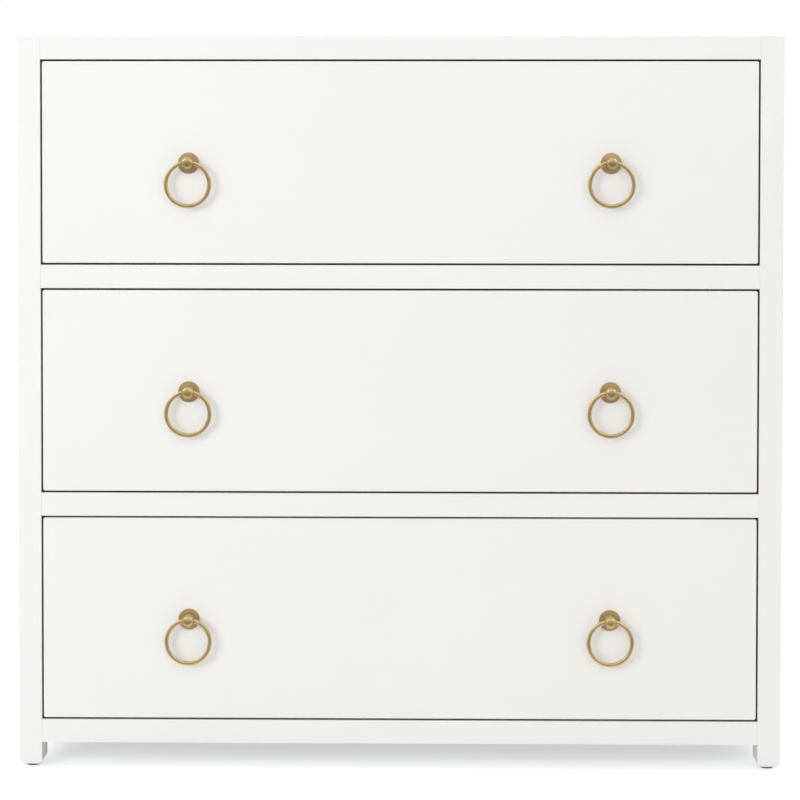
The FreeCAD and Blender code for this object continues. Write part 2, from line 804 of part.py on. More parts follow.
def headed_pin(label, base, axis, outward, sizes):
    """A headed screw seated at its base; outward is the sign of the way its head faces."""
    inward = "-" if outward == "+" else "+"
    seat = base["xyz".index(axis)]
    screw = Piece(label, base)
    screw.turn(axis, [
        ("0", f"{seat} {inward} {sizes['length']}"),
        (f"{sizes['diameter']} / 2", f"{seat} {inward} ({sizes['length']} - {sizes['tip']})"),
        (f"{sizes['diameter']} / 2", seat),
        (f"{sizes['head']} / 2", seat),
        (f"{sizes['head']} / 2", f"{seat} {outward} {sizes['head_height']}"),
        ("0", f"{seat} {outward} {sizes['head_height']}"),
    ])
    crown = value(f"{outward}{sizes['head_height']}")
    screw.fillet(sizes["head_round"], lambda edge: at(edge, axis, crown) and edge.Length > NEAR)
    return screw


WOOD_SCREW = {"length": "screw_length", "diameter": "screw_diameter", "tip": "screw_tip",
              "head": "screw_head_diameter", "head_height": "screw_head_height",
              "head_round": "screw_head_round"}


def make_back_screws():
    """The screws around the back panel."""
    rows = []
    for number, ((x, z), axis, count, pitch) in enumerate(back_screw_rows(), start=1):
        screws = headed_pin(f"back_screw_row_{number}", (x, "back_face", z), "y", "+", WOOD_SCREW)
        screws.row(axis, count, pitch)
        rows.append(screws.body)
    group("back_panel_screws", rows)


def slide_screws(label, level, seat, outward):
    """One row of screws through a slide member, with their heads inside it."""
    screws = headed_pin(label, (seat, "slide_front + screw_margin", slide_level(level)), "x", outward,
                        WOOD_SCREW)
    screws.row("y", str(SLIDE_SCREWS), "slide_screw_pitch")
    return screws.body


def make_channel_screws():
    """The screws that hold the channels to the bearers."""
    rows = [slide_screws(f"{level}_channel_screws_left", level, "-inner_half + slide_sheet", "+")
            for level in LEVELS]
    group_of_pairs("slide_channel_screws", rows)


def make_runner_screws(level):
    """The screws that hold one drawer's runners to its box."""
    row = slide_screws(f"{level}_runner_screws_left", level, "-box_half - slide_sheet", "-")
    group_of_pairs(f"{level}_drawer_runner_screws", [row])


# ---------------------------------------------------------------- drawers

def make_drawer_box(level):
    """The front with the four-sided box behind it: sides, back and base, each let into the next."""
    low = drawer_low(level)
    box_low = f"({low} + box_lift)"
    box_span = span_at(box_low, "box_height")
    side_room = Box(("-box_half", "-box_inner"), ("front_back - side_dado", "box_rear"), box_span)
    other_side_room = Box(("box_inner", "box_half"), side_room.y, box_span)
    back_room = Box(("-box_inner - back_dado", "box_inner + back_dado"),
                    ("box_back_front", "box_back_rear"), box_span)
    base_room = Box(("-box_inner - base_groove", "box_inner + base_groove"),
                    ("front_back - base_groove", "box_back_front + base_groove"),
                    span_at(f"{box_low} + base_rise", "base_thickness"))

    front = board(f"{level}_drawer_front", Box(
        ("-inner_half + drawer_gap", "inner_half - drawer_gap"), ("front", "front_back"),
        span_at(low, "opening_height - 2 * drawer_gap")))
    front.fillet("front_corner", lambda edge: along(edge, "y"))
    front.ease("front_ease")
    for room in (side_room, other_side_room, base_room):
        front.cut(grown(room, "joint_gap"))
    for x in ("-pull_offset", "pull_offset"):
        front.bore("y", (x, pull_level(level)), "bolt_hole", ("front", "front_back"))
    node(front.body)

    side = board(f"{level}_drawer_side_left", side_room)
    top = value("box_height")
    side.fillet("box_ease", lambda edge: at(edge, "z", top) and along(edge, "y"))
    side.cut(grown(back_room, "joint_gap"))
    side.cut(grown(base_room, "joint_gap"))
    hole = side.bore("x", ("slide_front + screw_margin", slide_level(level)), "screw_hole",
                     ("-box_half", "-box_half - slide_sheet + screw_room"))
    side.row("y", str(SLIDE_SCREWS), "slide_screw_pitch", hole)
    left_and_right(side.body, f"{level}_drawer_side")

    back = board(f"{level}_drawer_back", back_room)
    back.fillet("box_ease", lambda edge: at(edge, "z", top) and along(edge, "x"))
    back.cut(grown(base_room, "joint_gap"))
    node(back.body)
    node(board(f"{level}_drawer_base", base_room).body)


# ---------------------------------------------------------------- ring pulls

def pull_level(level):
    """Height of the centre of one drawer's knobs."""
    return f"({drawer_low(level)} + opening_height / 2 - drawer_gap - pull_drop)"


def make_rosettes(level):
    """The round backplates: a rim that rises inwards, a groove and a hub that the knob stands on."""
    rosette = Piece(f"{level}_rosette_left", ("-pull_offset", "front", pull_level(level)))
    rosette.turn("y", [
        ("bolt_hole / 2", "front"),
        ("rosette_diameter / 2", "front"),
        ("rosette_diameter / 2", "front - rosette_edge"),
        ("groove_outside", "front - rosette_height"),
        ("groove_outside", "front - groove_floor"),
        ("groove_inside", "front - groove_floor"),
        ("groove_inside", "front - hub_shoulder"),
        ("hub_diameter / 2", "front - hub_height"),
        ("bolt_hole / 2", "front - hub_height"),
    ])
    rosette.fillet("rosette_round", lambda edge: at(edge, "y", value("-rosette_edge")))
    rosette.fillet("hub_round", lambda edge: at(edge, "y", value("-hub_shoulder")))
    group_of_pairs(f"{level}_drawer_rosettes", [rosette.body])


def make_knobs(level):
    """The knobs: a neck and a ball, bored across its rear half for the ring and tapped from behind."""
    height = pull_level(level)
    knob = Piece(f"{level}_knob_left", ("-pull_offset", "front", height))
    knob.turn("y", [
        ("0", "front - hub_height"),
        ("knob_neck_diameter / 2", "front - hub_height"),
        ("knob_neck_diameter / 2", "knob_line"),
        ("0", "knob_line"),
    ])
    knob.ball("knob_diameter", ("-pull_offset", "knob_line", height))
    knob.bore("x", ("ring_line", height), "ring_bore", span_about("-pull_offset", "knob_diameter"))
    bored = knob.body.Tip.Shape
    neck_side = value("knob_neck_diameter / 2") + NEAR
    knob.fillet("knob_hole_ease", lambda edge: is_sharp(bored, edge) and all(
        abs(vertex.Point.x) > neck_side for vertex in edge.Vertexes))
    knob.bore("y", ("-pull_offset", height), "bolt_hole", ("bolt_room", "front - hub_height"))
    group_of_pairs(f"{level}_drawer_knobs", [knob.body])


def make_rings(level):
    """The rings, each hanging from the hole in its knob with its top bar on the hole's axis."""
    for side, x in (("left", "-pull_offset"), ("right", "pull_offset")):
        label = f"{level}_drawer_ring_{side}"
        ring = DOC.addObject("Part::Torus", label)
        ring.Label = label
        ring.Placement.Rotation = FreeCAD.Rotation(FreeCAD.Vector(1, 0, 0), 90)
        bind(ring, "Radius1", "ring_radius")
        bind(ring, "Radius2", "ring_wire / 2")
        place(ring, (x, "ring_line", f"{pull_level(level)} + ring_sag / 2 - ring_radius"))
        node(ring)


def make_pull_bolts(level):
    """The machine screws that hold the pulls, with their heads inside the drawer."""
    sizes = {"length": "(front_back - bolt_tip)", "diameter": "bolt_diameter", "tip": "bolt_head_round",
             "head": "bolt_head_diameter", "head_height": "bolt_head_height",
             "head_round": "bolt_head_round"}
    base = ("-pull_offset", "front_back", pull_level(level))
    bolt = headed_pin(f"{level}_pull_bolt_left", base, "y", "+", sizes)
    group_of_pairs(f"{level}_drawer_pull_bolts", [bolt.body])


# ---------------------------------------------------------------- the chest

def make_chest():
    make_posts()
    make_front_rails()
    make_rear_rails()
    make_side_rails()
    make_panels()
    make_floor_glides()
    make_bearers()
    make_channels()
    make_channel_screws()
    make_back_screws()
    for level in LEVELS:
        make_drawer_box(level)
        make_rosettes(level)
        make_knobs(level)
        make_rings(level)
        make_pull_bolts(level)
        make_runners(level)
        make_runner_screws(level)
        make_ball_cages(level)


def check_document():
    """Stop if any object failed or any finished piece is empty or not valid."""
    for thing in DOC.Objects:
        if {"Invalid", "Error"} & set(thing.State):
            raise RuntimeError(f"{thing.Name} failed: {thing.State}")
    for thing in NODES:
        shape = thing.Shape
        if shape.isNull() or not shape.isValid() or not shape.Solids:
            raise RuntimeError(f"{thing.Label} has no valid solid")


def write_parts():
    """Write each finished piece to a file under its label."""
    os.makedirs("parts", exist_ok=True)
    for thing in NODES:
        thing.Shape.exportStep(f"parts/{thing.Label}.step")


fill_sheet()
make_chest()
DOC.recompute()
check_document()
write_parts()
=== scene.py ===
"""Campaign chest: materials, screws, knobs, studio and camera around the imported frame. Metres, +Z up."""

import math
from collections import namedtuple

import bmesh
import bpy
from mathutils import Matrix, Vector


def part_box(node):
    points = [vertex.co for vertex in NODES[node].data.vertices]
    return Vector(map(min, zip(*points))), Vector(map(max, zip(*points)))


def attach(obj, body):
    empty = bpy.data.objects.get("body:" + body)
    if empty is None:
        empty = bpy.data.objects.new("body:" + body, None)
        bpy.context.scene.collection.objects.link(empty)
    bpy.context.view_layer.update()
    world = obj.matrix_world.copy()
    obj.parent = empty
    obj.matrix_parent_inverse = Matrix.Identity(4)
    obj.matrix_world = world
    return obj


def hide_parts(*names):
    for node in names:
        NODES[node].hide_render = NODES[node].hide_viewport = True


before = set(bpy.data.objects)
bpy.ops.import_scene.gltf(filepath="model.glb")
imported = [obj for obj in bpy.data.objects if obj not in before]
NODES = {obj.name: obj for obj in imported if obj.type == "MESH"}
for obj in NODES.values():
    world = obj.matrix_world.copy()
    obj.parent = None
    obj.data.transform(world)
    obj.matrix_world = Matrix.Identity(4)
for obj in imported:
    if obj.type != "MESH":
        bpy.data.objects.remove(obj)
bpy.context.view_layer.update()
FRONT_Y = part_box("upper_drawer_front")[0].y
LEVELS = ("lower", "middle", "upper")
WHITE = (1.0, 1.0, 1.0, 1.0)

# The room inside the carcass, whose faces the lacquer doesn't cover and whose dark bare wood also paints
# shade into the gaps between parts. Between the two stated depths behind the front plane the lacquer fades
# out, sooner on the carcass than on the edges of the drawer fronts.
INSIDE_LOW = Vector((-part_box("side_panel_right")[0].x, FRONT_Y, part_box("bottom_front_rail")[1].z))
INSIDE_HIGH = Vector((-INSIDE_LOW.x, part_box("back_panel")[0].y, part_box("top_panel")[0].z))
FACE_TOLERANCE = 0.0005
CARCASS_SPRAY = (0.001, 0.004)
FRONT_SPRAY = (0.013, 0.017)


# ---------------------------------------------------------------- node helpers

class Nodes:
    """A small builder for one node tree."""

    def __init__(self, tree):
        self.tree = tree
        tree.nodes.clear()

    def node(self, kind, inputs=None, **settings):
        """A node with its settings, input values and links."""
        node = self.tree.nodes.new(kind)
        for name, setting in settings.items():
            setattr(node, name, setting)
        for name, source in (inputs or {}).items():
            self.feed(node.inputs[name], source)
        return node

    def feed(self, socket, source):
        """Link a socket to another one, or set its value."""
        if isinstance(source, bpy.types.NodeSocket):
            self.tree.links.new(source, socket)
        else:
            socket.default_value = source

    def math(self, operation, first, second=None):
        """One sum on one or two numbers."""
        inputs = {0: first} if second is None else {0: first, 1: second}
        return self.node("ShaderNodeMath", inputs, operation=operation).outputs[0]

    def graded(self, factor, span, levels):
        """A factor mapped from a span to a pair of levels, with soft ends."""
        inputs = {"Value": factor, "From Min": span[0], "From Max": span[1], "To Min": levels[0],
                  "To Max": levels[1]}
        return self.node("ShaderNodeMapRange", inputs, interpolation_type="SMOOTHSTEP").outputs[0]

    def light_path(self, *rays):
        """1 for any of these kinds of ray, else 0."""
        path = self.node("ShaderNodeLightPath")
        total = path.outputs[rays[0]]
        for ray in rays[1:]:
            total = self.math("MAXIMUM", total, path.outputs[ray])
        return total

    def blend(self, factor, first, second):
        """Two shaders mixed by a factor."""
        return self.node("ShaderNodeMixShader", {0: factor, 1: first, 2: second}).outputs[0]


class Shader(Nodes):
    """The builder for one material."""

    def __init__(self, name):
        self.material = bpy.data.materials.new(name)
        self.material.use_nodes = True
        super().__init__(self.material.node_tree)
        self.output = self.node("ShaderNodeOutputMaterial")

    def place(self, stretch=(1, 1, 1)):
        """Object coordinates, scaled by one factor for each axis."""
        spot = self.node("ShaderNodeTexCoord").outputs["Object"]
        return self.node("ShaderNodeMapping", {"Vector": spot, "Scale": stretch}).outputs["Vector"]

    def noise(self, vector, scale, detail=2.0, roughness=0.5, distortion=0.0):
        """Fractal noise from 0 to 1."""
        inputs = {"Vector": vector, "Scale": scale, "Detail": detail, "Roughness": roughness,
                  "Distortion": distortion}
        return self.node("ShaderNodeTexNoise", inputs).outputs["Fac"]

    def ramp(self, factor, stops):
        """A colour ramp through (position, colour) stops."""
        node = self.node("ShaderNodeValToRGB", {"Fac": factor})
        elements = node.color_ramp.elements
        while len(elements) < len(stops):
            elements.new(1.0)
        for element, (position, colour) in zip(elements, stops):
            element.position = position
            element.color = (*colour, 1.0)
        return node.outputs["Color"]

    def mix(self, factor, first, second):
        """Two colours mixed by a factor."""
        node = self.node("ShaderNodeMix", data_type="RGBA")
        for name, source in (("Factor_Float", factor), ("A_Color", first), ("B_Color", second)):
            socket = next(s for s in node.inputs if s.identifier == name)
            self.feed(socket, source)
        return next(s for s in node.outputs if s.identifier == "Result_Color")

    def spread(self, factor, low, high):
        """A factor from 0 to 1, mapped to a range."""
        return self.node("ShaderNodeMapRange", {"Value": factor, "To Min": low, "To Max": high}).outputs[0]

    def bump(self, height, depth, below=None):
        """A bump whose height of 1 is as deep as stated, in metres, over another bump if one is given."""
        inputs = {"Height": height, "Distance": depth, "Strength": 1.0}
        if below:
            inputs["Normal"] = below
        return self.node("ShaderNodeBump", inputs).outputs["Normal"]

    def inside_carcass(self, spray):
        """1 on faces inside the carcass, with a soft start where the spray from the front ends, else 0."""
        centre = (INSIDE_LOW + INSIDE_HIGH) / 2
        half = (INSIDE_HIGH - INSIDE_LOW) / 2
        spot = self.node("ShaderNodeTexCoord").outputs["Object"]
        apart = self.node("ShaderNodeVectorMath", {0: spot, 1: centre}, operation="SUBTRACT").outputs[0]
        apart = self.node("ShaderNodeVectorMath", {0: apart}, operation="ABSOLUTE").outputs[0]
        split = self.node("ShaderNodeSeparateXYZ", {0: apart})
        inside = 1.0
        for axis, reach in zip("XYZ", half):
            near = self.math("LESS_THAN", split.outputs[axis], reach + FACE_TOLERANCE)
            inside = self.math("MULTIPLY", inside, near)
        depth = self.node("ShaderNodeSeparateXYZ", {0: spot}).outputs["Y"]
        fade = self.node("ShaderNodeMapRange", {
            "Value": depth, "From Min": FRONT_Y + spray[0], "From Max": FRONT_Y + spray[1]})
        return self.math("MULTIPLY", inside, fade.outputs[0])

    def principled(self, **inputs):
        """The finished material, with sockets of the Principled shader named with underscores for spaces."""
        named = {name.replace("_", " "): source for name, source in inputs.items()}
        shader = self.node("ShaderNodeBsdfPrincipled", named)
        self.feed(self.output.inputs["Surface"], shader.outputs[0])
        return self.material


def along(axis, fine, coarse):
    """Stretch factors for a grain that runs along one axis: coarse along it and fine across it."""
    return tuple(coarse if name == axis else fine for name in "xyz")


# ---------------------------------------------------------------- materials

# Colours are linear, noise scales and stretch factors are per metre, and bump depths are in metres.
GRAIN_LINE = (0.80, 0.79, 0.75, 1.0)
# The brass: two tones before a piece's tint, specks, tarnish and painted shade, and how near a recess's sides
# are.
BRASS_TONES = ((0.54, 0.388, 0.182), (0.63, 0.462, 0.228))
SPECK_BROWN = (0.36, 0.245, 0.115, 1.0)
TARNISH_AND_SHADE_BROWN = (0.24, 0.155, 0.07, 1.0)
RECESS_REACH = 0.003
# The wood: how far its rings' sine wave runs over the figure's whole range, in radians, and its open pores.
RING_ANGLE = 14.0
PORE_BROWN = (0.33, 0.21, 0.11, 1.0)
ROLLED_GREY = (0.44, 0.45, 0.46, 1.0)


def lacquer(name, axis, spray=CARCASS_SPRAY):
    """Off-white satin lacquer on wood whose grain just shows along one axis; bare wood in the carcass,
    darkened as painted shade.
    """
    s = Shader(name)
    plain = s.place()
    cloud = s.noise(plain, scale=2.6, detail=3.0)
    grain = s.noise(s.place(along(axis, fine=260, coarse=9)), scale=1.0, detail=4.0, roughness=0.6,
                    distortion=0.4)
    peel = s.noise(plain, scale=520.0, detail=1.0)
    tone = s.ramp(cloud, [(0.35, (0.874, 0.871, 0.834)), (0.65, (0.890, 0.887, 0.851))])
    sprayed = s.mix(s.spread(grain, 0.0, 0.035), tone, GRAIN_LINE)
    # Painted shade as well as bare wood: this brown is darker than the drawers' wood, so the gaps between
    # parts read dark.
    bare_wood_and_shade = s.ramp(grain, [(0.3, (0.28, 0.19, 0.11)), (0.7, (0.40, 0.29, 0.175))])
    base = s.mix(s.inside_carcass(spray), sprayed, bare_wood_and_shade)
    roughness = s.spread(s.noise(plain, scale=34.0, detail=3.0), 0.36, 0.5)
    normal = s.bump(peel, 0.00002, s.bump(grain, 0.00002))
    return s.principled(Base_Color=base, Roughness=roughness, Normal=normal, Specular_IOR_Level=0.45)


def brass(name, tint, tarnish_and_shade_depth, roughest):
    """Antique satin brass: golden where rubbed, browner in recesses from tarnish and painted shade, with fine
    scratches.
    """
    s = Shader(name)
    plain = s.place()
    patina = s.noise(plain, scale=70.0, detail=3.0, distortion=0.2)
    speck = s.noise(plain, scale=900.0)
    dark, light = (tuple(own * part for own, part in zip(tint, tone)) for tone in BRASS_TONES)
    tinted = s.ramp(patina, [(0.3, dark), (0.7, light)])
    rubbed = s.mix(s.spread(speck, 0.0, 0.14), tinted, SPECK_BROWN)
    # Painted shade as well as tarnish: the brass turns browner and darker where nearby surfaces hem it in, as
    # under the ball.
    open_sky = s.node("ShaderNodeAmbientOcclusion", {"Distance": RECESS_REACH}, samples=8).outputs["AO"]
    tarnish_and_shade = s.ramp(open_sky, [(0.1, (tarnish_and_shade_depth,) * 3), (0.55, (0.0, 0.0, 0.0))])
    base = s.mix(tarnish_and_shade, rubbed, TARNISH_AND_SHADE_BROWN)
    roughness = s.spread(patina, roughest, roughest - 0.05)
    scratch = s.noise(s.place((1800, 300, 1800)), scale=1.0)
    normal = s.bump(scratch, 0.000006, s.bump(speck, 0.000005))
    return s.principled(Base_Color=base, Metallic=1.0, Roughness=roughness, Normal=normal)


def sealed_wood(name, axis):
    """Pale sealed hardwood with growth rings drawn out along one axis, and open pores."""
    s = Shader(name)
    figure = s.noise(s.place(along(axis, fine=46, coarse=1.6)), scale=1.0, detail=3.0, distortion=1.2)
    pores = s.noise(s.place(along(axis, fine=900, coarse=30)), scale=1.0, detail=3.0, roughness=0.65)
    wave = s.math("SINE", s.math("MULTIPLY", figure, RING_ANGLE))
    rings = s.node("ShaderNodeMapRange", {"Value": wave, "From Min": -1.0, "From Max": 1.0}).outputs[0]
    tone = s.ramp(rings, [(0.0, (0.52, 0.36, 0.20)), (0.55, (0.64, 0.47, 0.29)), (1.0, (0.70, 0.54, 0.35))])
    filled = s.ramp(pores, [(0.58, (0, 0, 0)), (0.74, (0.55, 0.55, 0.55))])
    base = s.mix(filled, tone, PORE_BROWN)
    roughness = s.spread(pores, 0.42, 0.6)
    normal = s.bump(pores, -0.00006, s.bump(rings, 0.00002))
    return s.principled(Base_Color=base, Roughness=roughness, Normal=normal)


def back_board(name):
    """Thin matt paint on fibreboard, with a fine tooth and a little unevenness."""
    s = Shader(name)
    plain = s.place()
    cloud = s.noise(plain, scale=5.0, detail=4.0)
    tooth = s.noise(plain, scale=700.0, detail=3.0, roughness=0.7)
    base = s.ramp(cloud, [(0.3, (0.728, 0.720, 0.684)), (0.7, (0.752, 0.745, 0.710))])
    return s.principled(Base_Color=base, Roughness=s.spread(tooth, 0.62, 0.8), Normal=s.bump(tooth, 0.00005))


def zinc(name):
    """Bright zinc plate on pressed steel, with faint spangle and rolling lines along the depth."""
    s = Shader(name)
    spangle = s.noise(s.place(), scale=160.0, detail=3.0, roughness=0.55, distortion=0.6)
    lines = s.noise(s.place(along("y", fine=1500, coarse=12)), scale=1.0)
    tone = s.ramp(spangle, [(0.3, (0.50, 0.52, 0.55)), (0.7, (0.66, 0.67, 0.69))])
    base = s.mix(s.spread(lines, 0.0, 0.2), tone, ROLLED_GREY)
    roughness = s.spread(spangle, 0.26, 0.42)
    return s.principled(Base_Color=base, Metallic=1.0, Roughness=roughness, Normal=s.bump(lines, 0.00001))


def glide_plastic(name):
    """Dark brown moulded plastic, scuffed and dusty."""
    s = Shader(name)
    dust = s.noise(s.place(), scale=240.0, detail=4.0, roughness=0.65)
    base = s.ramp(dust, [(0.35, (0.10, 0.09, 0.078)), (0.75, (0.19, 0.175, 0.155))])
    return s.principled(Base_Color=base, Roughness=s.spread(dust, 0.4, 0.65), Normal=s.bump(dust, 0.00004))


LACQUER = {axis: lacquer(f"white_lacquer_{axis}", axis) for axis in "xyz"}
FRONT_LACQUER = lacquer("white_lacquer_front", "x", FRONT_SPRAY)
WOOD = {axis: sealed_wood(f"sealed_wood_{axis}", axis) for axis in "xy"}
# The three tints are partly each piece's own finish and partly painted light: the ring and the plate are set
# lighter and the knob a little darker, standing in for how light falls on them.
RING_BRASS = brass("antique_brass_ring", tint=(1.165, 1.185, 1.195), tarnish_and_shade_depth=0.5, roughest=0.22)
KNOB_BRASS = brass("antique_brass_knob", tint=(0.98, 0.98, 0.98), tarnish_and_shade_depth=0.5, roughest=0.27)
PLATE_BRASS = brass("antique_brass_plate", tint=(1.05, 1.0, 0.98), tarnish_and_shade_depth=0.6, roughest=0.36)
BOARD = back_board("back_board_paint")
ZINC = zinc("zinc_plate")
GLIDE = glide_plastic("glide_plastic_scuffed")


def coat(material, *names):
    """Give CAD nodes one material in all their slots."""
    for name in names:
        for slot in NODES[name].material_slots:
            slot.material = material


coat(LACQUER["z"], "front_post_left", "front_post_right", "rear_post_left", "rear_post_right",
     "side_panel_left", "side_panel_right")
coat(LACQUER["x"], "bottom_front_rail", "lower_divider_rail", "upper_divider_rail", "top_front_rail",
     "bottom_rear_rail", "top_rear_rail", "top_panel")
coat(LACQUER["y"], "bottom_side_rails", "top_side_rails")
coat(BOARD, "back_panel")
coat(WOOD["y"], "slide_bearers")
coat(ZINC, "slide_channels")
coat(GLIDE, "floor_glides")
for level in LEVELS:
    coat(FRONT_LACQUER, f"{level}_drawer_front")
    coat(WOOD["y"], f"{level}_drawer_side_left", f"{level}_drawer_side_right")
    coat(WOOD["x"], f"{level}_drawer_back", f"{level}_drawer_base")
    coat(PLATE_BRASS, f"{level}_drawer_rosettes")
    coat(RING_BRASS, f"{level}_drawer_ring_left", f"{level}_drawer_ring_right")
    coat(ZINC, f"{level}_drawer_runners", f"{level}_drawer_ball_cages")


# ---------------------------------------------------------------- screws and knobs

# A screw's radii (thread crest, thread root, head, flat of the head), the head's height above its seat and
# the drop of its rounded edge, the thread's pitch, the length of its tapered tip, and its cross recess: arm
# length, half width and depth.
Screw = namedtuple("Screw", "crest root head flat height edge pitch taper recess")
WOOD_SCREW = Screw(crest=0.00175, root=0.0013, head=0.0035, flat=0.0023, height=0.0022, edge=0.0012,
                   pitch=0.0014, taper=0.003, recess=(0.0014, 0.00036, 0.0012))
PULL_BOLT = Screw(crest=0.002, root=0.0017, head=0.0045, flat=0.0033, height=0.0024, edge=0.0012,
                  pitch=0.0007, taper=0.0012, recess=(0.0019, 0.00045, 0.0014))
# The size of a recess's floor as a share of its mouth, and how finely threads and rounded edges are drawn.
RECESS_FLOOR = 0.4
RINGS_PER_TURN = 4
EDGE_STEPS = 5
CREASE = math.radians(38)
WELD = 1e-6


def cross_outline(arm, half_width):
    """The outline of a cross recess, each arm with a corner, its end and its sides in order of angle."""
    quarter = [(arm, 0.0), (arm, half_width), ((arm + half_width) / 2, half_width), (half_width, half_width),
               (half_width, (arm + half_width) / 2), (half_width, arm)]
    turns = [Matrix.Rotation(quarters * math.pi / 2, 2) for quarters in range(4)]
    return [turn @ Vector(corner) for turn in turns for corner in quarter]


def screw_rings(kind, length):
    """The rings of points that make a screw, from the floor of its recess round the head to its tip."""
    arm, half_width, depth = kind.recess
    cross = cross_outline(arm, half_width)
    angles = [math.atan2(point.y, point.x) for point in cross]

    def circle(radius, level):
        return [Vector((radius * math.cos(angle), radius * math.sin(angle), level)) for angle in angles]

    def cross_ring(share, level):
        return [Vector((share * point.x, share * point.y, level)) for point in cross]

    rings = [cross_ring(RECESS_FLOOR, kind.height - depth), cross_ring(1.0, kind.height)]
    for step in range(EDGE_STEPS + 1):
        bend = step / EDGE_STEPS * math.pi / 2
        rings.append(circle(kind.flat + (kind.head - kind.flat) * math.sin(bend),
                            kind.height - kind.edge * (1 - math.cos(bend))))
    rings.append(circle(kind.head, 0.0))
    rings.append(circle(kind.root, 0.0))
    spacing = kind.pitch / RINGS_PER_TURN
    for step in range(1, int(length / spacing)):
        depth_below = step * spacing
        narrowing = min(1.0, (length - depth_below) / kind.taper)
        ring = []
        for angle in angles:
            phase = (depth_below / kind.pitch + angle / (2 * math.pi)) % 1.0
            ridge = 1 - abs(2 * phase - 1)
            radius = (kind.root + (kind.crest - kind.root) * ridge) * narrowing
            ring.append(Vector((radius * math.cos(angle), radius * math.sin(angle), -depth_below)))
        rings.append(ring)
    return rings


def add_screw(shape, kind, length, seat, outward):
    """Add one screw to a mesh, with its head's seat at a point and its head facing outward."""
    pose = Matrix.Translation(seat) @ outward.to_track_quat("Z", "Y").to_matrix().to_4x4()
    rings = [[shape.verts.new(pose @ point) for point in ring] for ring in screw_rings(kind, length)]
    tip = shape.verts.new(pose @ Vector((0.0, 0.0, -length)))
    count = len(rings[0])
    shape.faces.new(rings[0])
    for upper, lower in zip(rings, rings[1:]):
        for index in range(count):
            after = (index + 1) % count
            shape.faces.new((upper[index], lower[index], lower[after], upper[after]))
    for index in range(count):
        shape.faces.new((rings[-1][index], tip, rings[-1][(index + 1) % count]))


def separate_solids(mesh):
    """The points of each solid in a node's mesh."""
    shape = bmesh.new()
    shape.from_mesh(mesh)
    bmesh.ops.remove_doubles(shape, verts=shape.verts, dist=WELD)
    solids, seen = [], set()
    for start in shape.verts:
        if start in seen:
            continue
        seen.add(start)
        waiting, points = [start], []
        while waiting:
            vertex = waiting.pop()
            points.append(vertex.co.copy())
            for edge in vertex.link_edges:
                other = edge.other_vert(vertex)
                if other not in seen:
                    seen.add(other)
                    waiting.append(other)
        solids.append(points)
    shape.free()
    return solids


def add_piece(name, shape, body, material):
    """A piece with smooth faces and sharp creases, which rides on a body and replaces a node."""
    mesh = bpy.data.meshes.new(f"{name}_detail")
    shape.to_mesh(mesh)
    shape.free()
    mesh.shade_smooth()
    mesh.set_sharp_from_angle(angle=CREASE)
    mesh.materials.append(material)
    piece = bpy.data.objects.new(f"{name}_detail", mesh)
    bpy.context.scene.collection.objects.link(piece)
    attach(piece, body)
    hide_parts(name)


def detail_screws(name, body, kind, axis):
    """Replace a node of screws along one axis by screws with threads and cross recesses, each in place."""
    shape = bmesh.new()
    for points in separate_solids(NODES[name].data):
        low, high = (Vector([pick(point[i] for point in points) for i in range(3)]) for pick in (min, max))
        middle = (low + high) / 2
        # The widest place is the head's, and shows which way the screw faces.
        rim = max(points, key=lambda point: max(abs(point[i] - middle[i]) for i in range(3) if i != axis))
        sign = 1 if rim[axis] > middle[axis] else -1
        outward = Vector([float(sign) if i == axis else 0.0 for i in range(3)])
        crown = high[axis] if sign > 0 else low[axis]
        seat = middle.copy()
        seat[axis] = crown - sign * kind.height
        add_screw(shape, kind, high[axis] - low[axis] - kind.height, seat, outward)
    bmesh.ops.recalc_face_normals(shape, faces=shape.faces)
    add_piece(name, shape, body, ZINC)


def smooth_knobs(level):
    """Replace a drawer's knobs by the same shapes with one smooth skin across the poles of their balls."""
    name = f"{level}_drawer_knobs"
    source = NODES[name].data
    shape = bmesh.new()
    points = [shape.verts.new(vertex.co) for vertex in source.vertices]
    for face in source.polygons:
        shape.faces.new([points[index] for index in face.vertices])
    bmesh.ops.remove_doubles(shape, verts=shape.verts, dist=WELD)
    add_piece(name, shape, f"{level}_drawer", KNOB_BRASS)


# The axes that screws run along.
ACROSS, DEEP = 0, 1
detail_screws("back_panel_screws", "carcass", WOOD_SCREW, DEEP)
detail_screws("slide_channel_screws", "carcass", WOOD_SCREW, ACROSS)
for level in LEVELS:
    detail_screws(f"{level}_drawer_runner_screws", f"{level}_drawer", WOOD_SCREW, ACROSS)
    detail_screws(f"{level}_drawer_pull_bolts", f"{level}_drawer", PULL_BOLT, DEEP)
    smooth_knobs(level)


# ---------------------------------------------------------------- studio

# The room's light on the object: from behind, from beside the front, and what a wide source in front adds,
# with the spans of the cosines over which each one comes in.
ROOM_BEHIND = 0.86
ROOM_BESIDE = 0.40
BESIDE_SPAN = (-0.3, 0.1)
ROOM_FRONT = 0.925
FRONT_SPAN = (0.6, 0.92)
SOURCE_RISE = math.radians(10)
FRONT_SOURCE = Vector((0.0, -math.cos(SOURCE_RISE), math.sin(SOURCE_RISE)))
# What shines back from the darkest side of the room, and the way to its lightest side.
STUDIO_SIDE = 0.47
LIGHTEST_SIDE = Vector((0.0, 0.6, 0.8))
SHINE_SPAN = (-0.75, 0.3)


